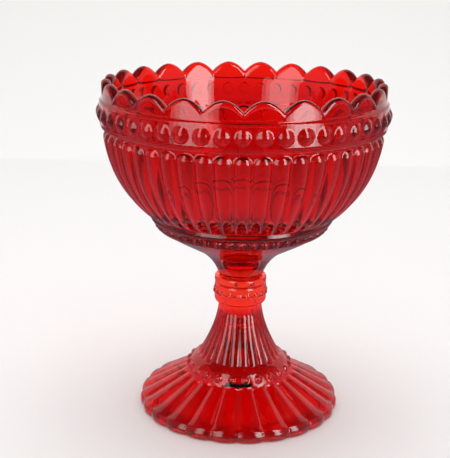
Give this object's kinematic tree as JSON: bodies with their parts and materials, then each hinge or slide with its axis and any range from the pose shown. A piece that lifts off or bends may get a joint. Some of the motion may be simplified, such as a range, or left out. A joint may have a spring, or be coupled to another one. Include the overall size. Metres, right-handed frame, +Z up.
{
  "type": "footed glass bowl",
  "caption": "Footed bowl of pressed red glass with a scalloped rim, a beaded band, a ribbed wall and a fluted hollow foot.",
  "frame": {"origin": "centre of the foot's standing rim, on the table plane", "axes": "+Z up along the bowl's axis, out of its open mouth; +X and +Y across it, both through a valley of the rim"},
  "size_m": [0.1316, 0.1316, 0.155],
  "materials": {
    "bowl_glass": "fire-polished pressed glass, ruby red",
    "wafer_glass": "fire-polished glass, orange red",
    "foot_glass": "fire-polished pressed glass, ruby red"
  },
  "bodies": {
    "root": {"bowl": "bowl_glass", "joining_wafer": "wafer_glass", "foot": "foot_glass"}
  },
  "joints": []
}
